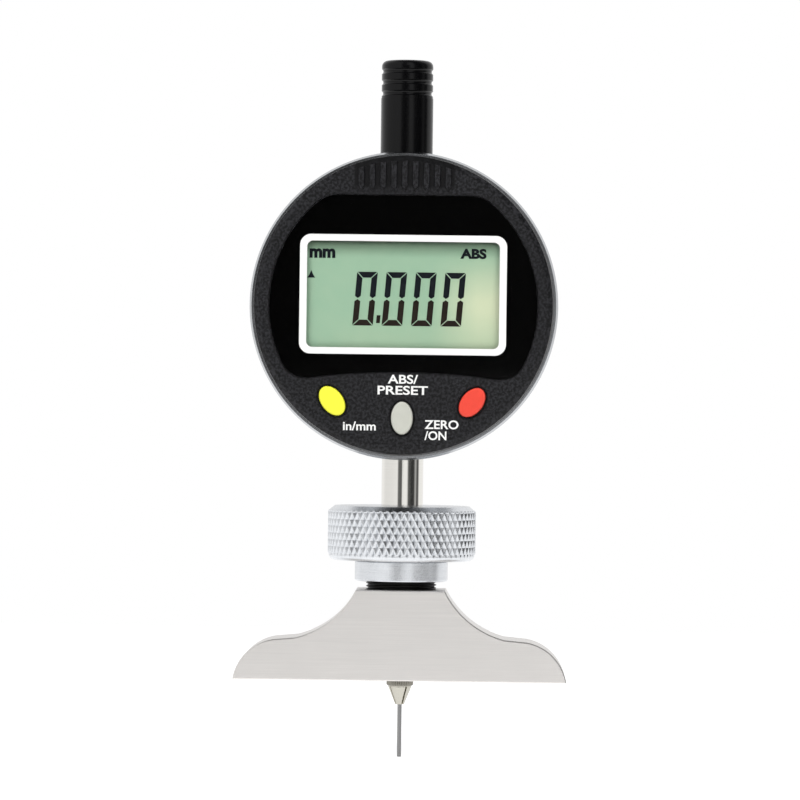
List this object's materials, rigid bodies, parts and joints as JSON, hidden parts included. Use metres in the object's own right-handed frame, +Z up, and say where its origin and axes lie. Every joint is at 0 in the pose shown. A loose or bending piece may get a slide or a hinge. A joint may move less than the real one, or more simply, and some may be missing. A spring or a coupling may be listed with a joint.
{
  "type": "digital depth gauge",
  "caption": "Round digital indicator with a window, keys and dust cap, clamped by a knurled nut in an arched steel depth base with a needle pin.",
  "frame": {"origin": "centre of the base's lower reference face, on the spindle's axis", "axes": "+Z up along the spindle, out of the reference face; the dial faces -Y; +X to the right"},
  "size_m": [0.0636, 0.029, 0.1333],
  "materials": {
    "base_steel": "ground and brushed, streaks along the base",
    "black_steel": "blackened thread",
    "nut_aluminium": "diamond knurl, turned ends",
    "case_aluminium": "satin cast",
    "rim_aluminium": "turned and polished",
    "polished_steel": "polished",
    "bush_brass": "turned",
    "black_cap": "smooth, slight sheen",
    "rubber_black": "plain",
    "screw_steel": "zinc plated",
    "board_green": "solder mask",
    "ribbon_amber": "film",
    "spring_steel": "drawn wire",
    "friction_white": "plain",
    "black_plastic": "fine moulded grain",
    "cell_steel": "nickel plated",
    "contact_brass": "sheet",
    "holder_nickel": "nickel plated",
    "pin_steel": "ground",
    "lens_clear": "polished",
    "panel_glass": "grey-green liquid crystal",
    "frame_white": "plain",
    "chip_black": "plain",
    "button_yellow": "satin",
    "button_grey": "satin",
    "button_red": "satin"
  },
  "bodies": {
    "base": {"depth_base": "base_steel", "collet": "black_steel"},
    "nut": {"clamp_nut": "nut_aluminium"},
    "indicator": {"case": "case_aluminium", "stem": "polished_steel", "lower_bush": "bush_brass", "upper_bush": "bush_brass", "buffer_ring": "rubber_black", "guide_rail": "case_aluminium", "rail_screws": "screw_steel", "sensor_board": "board_green", "sensor_screws": "screw_steel", "ribbon_cable": "ribbon_amber", "retaining_ring": "spring_steel", "friction_ring": "friction_white", "case_seal": "rubber_black", "rear_cover": "black_plastic", "rear_screws": "screw_steel", "battery": "cell_steel", "battery_contacts": "contact_brass", "return_spring": "spring_steel"},
    "cap": {"dust_cap": "black_cap"},
    "battery_door": {"battery_cap": "black_plastic"},
    "plunger": {"spindle": "polished_steel", "scale_carrier": "bush_brass", "scale_strip": "board_green", "carrier_screw": "screw_steel", "guide_pin": "polished_steel", "pin_holder": "holder_nickel", "measuring_pin": "pin_steel"},
    "display": {"front_cover": "black_plastic", "bezel_ring": "rim_aluminium", "window_lens": "lens_clear", "lcd_panel": "panel_glass", "lcd_frame": "frame_white", "contact_strips": "rubber_black", "display_board": "board_green", "processor_chip": "chip_black", "cable_socket": "frame_white", "push_switches": "chip_black", "display_carrier": "black_plastic", "display_screws": "screw_steel"},
    "in_mm_key": {"button_in_mm": "button_yellow"},
    "preset_key": {"button_preset": "button_grey"},
    "zero_on_key": {"button_zero_on": "button_red"}
  },
  "joints": [
    {"name": "nut_turn", "type": "hinge", "parent": "base", "child": "nut", "pos_m": [0, 0, 0.028], "axis": [0, 0, 1], "range_deg": [0, 270]},
    {"name": "stem_slide", "type": "slide", "parent": "base", "child": "indicator", "axis": [0, 0, 1], "range_m": [-0.008, 0.008]},
    {"name": "cap_turn", "type": "hinge", "parent": "indicator", "child": "cap", "pos_m": [0, 0, 0.105], "axis": [0, 0, 1], "range_deg": [0, 720]},
    {"name": "battery_cap_turn", "type": "hinge", "parent": "indicator", "child": "battery_door", "pos_m": [0, 0.0125, 0.0713], "axis": [0, 1, 0], "range_deg": [0, 90]},
    {"name": "spindle_slide", "type": "slide", "parent": "indicator", "child": "plunger", "axis": [0, 0, 1], "range_m": [0, 0.0152], "stiffness_N_per_m": 20, "springref_m": -0.04, "deforming": ["return_spring"]},
    {"name": "display_turn", "type": "hinge", "parent": "indicator", "child": "display", "pos_m": [0, -0.01, 0.0713], "axis": [0, 1, 0], "range_deg": [-135, 135]},
    {"name": "in_mm_press", "type": "slide", "parent": "display", "child": "in_mm_key", "axis": [0, 1, 0], "range_m": [0, 0.0003], "stiffness_N_per_m": 3000, "springref_m": -0.0002},
    {"name": "preset_press", "type": "slide", "parent": "display", "child": "preset_key", "axis": [0, 1, 0], "range_m": [0, 0.0003], "stiffness_N_per_m": 3000, "springref_m": -0.0002},
    {"name": "zero_on_press", "type": "slide", "parent": "display", "child": "zero_on_key", "axis": [0, 1, 0], "range_m": [0, 0.0003], "stiffness_N_per_m": 3000, "springref_m": -0.0002}
  ]
}
